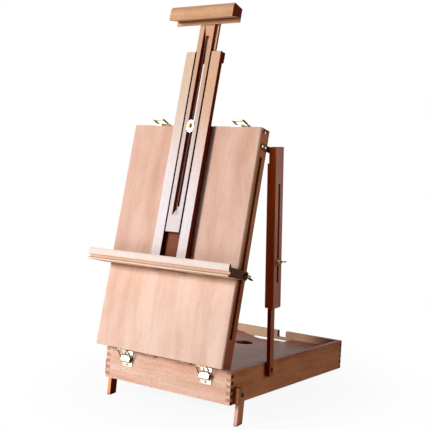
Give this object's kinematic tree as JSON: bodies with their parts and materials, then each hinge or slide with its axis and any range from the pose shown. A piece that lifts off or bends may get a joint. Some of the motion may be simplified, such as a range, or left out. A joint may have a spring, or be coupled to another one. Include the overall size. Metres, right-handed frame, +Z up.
{
  "type": "pochade box easel",
  "caption": "Wooden table-top box easel: a tray on folding legs, a hinged lid that stands as the board, telescopic struts, and a sliding mast with a canvas ledge and a top clamp.",
  "frame": {"origin": "bottom centre of the bounding box, on the surface that the easel stands on", "axes": "+Z up; -Y towards the painter, on the side of the board and the ledge; +X to the right when seen from the front"},
  "size_m": [0.39, 0.517, 0.8263],
  "materials": {
    "pale_wood": "satin",
    "ply": "satin",
    "palette_wood": "satin",
    "brass": "polished",
    "steel": "satin"
  },
  "bodies": {
    "base": {"tray_front_wall": "pale_wood", "tray_back_wall": "pale_wood", "tray_right_wall": "pale_wood", "tray_left_wall": "pale_wood", "tray_bottom": "ply", "palette_strips": "pale_wood", "tray_dividers": "pale_wood", "leg_stops": "pale_wood", "leg_bolts": "brass", "hinge_tray_leaves": "brass", "hinge_pins": "brass", "strut_foot_bolts": "brass", "front_latch_plates": "brass", "front_latch_screws": "brass", "tray_catches": "brass"},
    "palette": {"palette": "palette_wood"},
    "right_leg": {"right_leg": "pale_wood"},
    "left_leg": {"left_leg": "pale_wood"},
    "lid": {"lid_hinged_end": "pale_wood", "lid_free_end": "pale_wood", "lid_right_wall": "pale_wood", "lid_left_wall": "pale_wood", "lid_panel": "ply", "hinge_lid_leaves": "brass", "strut_brackets": "brass", "mast_bolt": "brass", "mast_washer": "steel", "rear_latch_plates": "brass", "rear_latch_screws": "brass", "lid_catches": "brass"},
    "carriage": {"right_rail": "pale_wood", "left_rail": "pale_wood", "upper_crosspiece": "pale_wood", "lower_crosspiece": "pale_wood", "ledge": "pale_wood", "ledge_arms": "pale_wood", "slot_bolts": "brass"},
    "slider": {"slider": "pale_wood", "top_clamp": "pale_wood"},
    "mast_nut": {"mast_nut": "brass"},
    "right_bar": {"right_strut_bar": "pale_wood", "right_strut_bolt": "brass"},
    "right_channel": {"right_strut_channel": "pale_wood", "right_strut_pin": "brass"},
    "right_strut_nut": {"right_strut_nut": "brass"},
    "right_ledge_nut": {"right_ledge_nut": "brass"},
    "left_bar": {"left_strut_bar": "pale_wood", "left_strut_bolt": "brass"},
    "left_channel": {"left_strut_channel": "pale_wood", "left_strut_pin": "brass"},
    "left_strut_nut": {"left_strut_nut": "brass"},
    "left_ledge_nut": {"left_ledge_nut": "brass"},
    "front_left_lever": {"front_left_lever": "brass"},
    "front_left_bail": {"front_left_bail": "brass"},
    "front_right_lever": {"front_right_lever": "brass"},
    "front_right_bail": {"front_right_bail": "brass"},
    "rear_left_lever": {"rear_left_lever": "brass"},
    "rear_left_bail": {"rear_left_bail": "brass"},
    "rear_right_lever": {"rear_right_lever": "brass"},
    "rear_right_bail": {"rear_right_bail": "brass"}
  },
  "joints": [
    {"name": "lid_hinge", "type": "hinge", "parent": "base", "child": "lid", "pos_m": [0, -0.22503, 0.11054], "axis": [1, 0, 0], "range_deg": [-78.4, 0]},
    {"name": "right_strut_foot", "type": "hinge", "parent": "base", "child": "right_bar", "pos_m": [0.1681, -0.09077, 0.08345], "axis": [1, 0, 0], "range_deg": [-94.81, 0.5]},
    {"name": "right_strut_slide", "type": "slide", "parent": "right_bar", "child": "right_channel", "axis": [0, 0.0236, 0.9997], "range_m": [-0.13993, 0.0005]},
    {"name": "right_strut_nut_turn", "type": "hinge", "parent": "right_bar", "child": "right_strut_nut", "pos_m": [0.18625, -0.08546, 0.30832], "axis": [1, 0, 0], "continuous": true},
    {"name": "right_ledge_nut_turn", "type": "hinge", "parent": "carriage", "child": "right_ledge_nut", "pos_m": [0.17265, -0.1866, 0.29411], "axis": [1, 0, 0], "continuous": true},
    {"name": "right_leg_fold", "type": "hinge", "parent": "base", "child": "right_leg", "pos_m": [0.1645, -0.19453, 0.05858], "axis": [1, 0, 0], "range_deg": [0, 94]},
    {"name": "left_strut_foot", "type": "hinge", "parent": "base", "child": "left_bar", "pos_m": [-0.1681, -0.09077, 0.08345], "axis": [1, 0, 0], "range_deg": [-94.81, 0.5]},
    {"name": "left_strut_slide", "type": "slide", "parent": "left_bar", "child": "left_channel", "axis": [0, 0.0236, 0.9997], "range_m": [-0.13993, 0.0005]},
    {"name": "left_strut_nut_turn", "type": "hinge", "parent": "left_bar", "child": "left_strut_nut", "pos_m": [-0.18625, -0.08546, 0.30832], "axis": [1, 0, 0], "continuous": true},
    {"name": "left_ledge_nut_turn", "type": "hinge", "parent": "carriage", "child": "left_ledge_nut", "pos_m": [-0.17265, -0.1866, 0.29411], "axis": [1, 0, 0], "continuous": true},
    {"name": "left_leg_fold", "type": "hinge", "parent": "base", "child": "left_leg", "pos_m": [-0.1645, -0.19453, 0.05858], "axis": [1, 0, 0], "range_deg": [0, 94]},
    {"name": "carriage_slide", "type": "slide", "parent": "lid", "child": "carriage", "axis": [0, 0.2912, 0.9566], "range_m": [-0.12, 0.212]},
    {"name": "slider_slide", "type": "slide", "parent": "lid", "child": "slider", "axis": [0, 0.2912, 0.9566], "range_m": [-0.136, 0.158]},
    {"name": "mast_nut_turn", "type": "hinge", "parent": "lid", "child": "mast_nut", "pos_m": [0, -0.13437, 0.57967], "axis": [0, -0.9566, 0.2912], "continuous": true},
    {"name": "palette_lift", "type": "slide", "parent": "base", "child": "palette", "axis": [0, 0.0929, 0.9957], "range_m": [0, 0.06]},
    {"name": "front_left_lever_turn", "type": "hinge", "parent": "base", "child": "front_left_lever", "pos_m": [-0.1015, -0.22589, 0.09917], "axis": [1, 0, 0], "range_deg": [-135, 0]},
    {"name": "front_left_bail_turn", "type": "hinge", "parent": "front_left_lever", "child": "front_left_bail", "pos_m": [-0.1015, -0.22717, 0.09196], "axis": [1, 0, 0], "range_deg": [-1, 198]},
    {"name": "rear_left_lever_turn", "type": "hinge", "parent": "lid", "child": "rear_left_lever", "pos_m": [-0.1015, -0.09492, 0.57707], "axis": [1, 0, 0], "range_deg": [0, 147]},
    {"name": "rear_left_bail_turn", "type": "hinge", "parent": "rear_left_lever", "child": "rear_left_bail", "pos_m": [-0.1015, -0.08773, 0.57851], "axis": [1, 0, 0], "range_deg": [-316, 1]},
    {"name": "front_right_lever_turn", "type": "hinge", "parent": "base", "child": "front_right_lever", "pos_m": [0.1015, -0.22589, 0.09917], "axis": [1, 0, 0], "range_deg": [-135, 0]},
    {"name": "front_right_bail_turn", "type": "hinge", "parent": "front_right_lever", "child": "front_right_bail", "pos_m": [0.1015, -0.22717, 0.09196], "axis": [1, 0, 0], "range_deg": [-1, 198]},
    {"name": "rear_right_lever_turn", "type": "hinge", "parent": "lid", "child": "rear_right_lever", "pos_m": [0.1015, -0.09492, 0.57707], "axis": [1, 0, 0], "range_deg": [0, 147]},
    {"name": "rear_right_bail_turn", "type": "hinge", "parent": "rear_right_lever", "child": "rear_right_bail", "pos_m": [0.1015, -0.08773, 0.57851], "axis": [1, 0, 0], "range_deg": [-316, 1]}
  ],
  "couplings": [
    {"joint": "right_strut_foot", "follows": "lid_hinge", "ratio": 1.203},
    {"joint": "right_strut_slide", "follows": "lid_hinge", "m_per_rad": 0.1019},
    {"joint": "left_strut_foot", "follows": "lid_hinge", "ratio": 1.203},
    {"joint": "left_strut_slide", "follows": "lid_hinge", "m_per_rad": 0.1019},
    {"joint": "front_left_bail_turn", "follows": "front_left_lever_turn", "ratio": -1.46},
    {"joint": "rear_left_bail_turn", "follows": "rear_left_lever_turn", "ratio": -2.1429},
    {"joint": "front_right_bail_turn", "follows": "front_right_lever_turn", "ratio": -1.46},
    {"joint": "rear_right_bail_turn", "follows": "rear_right_lever_turn", "ratio": -2.1429}
  ]
}
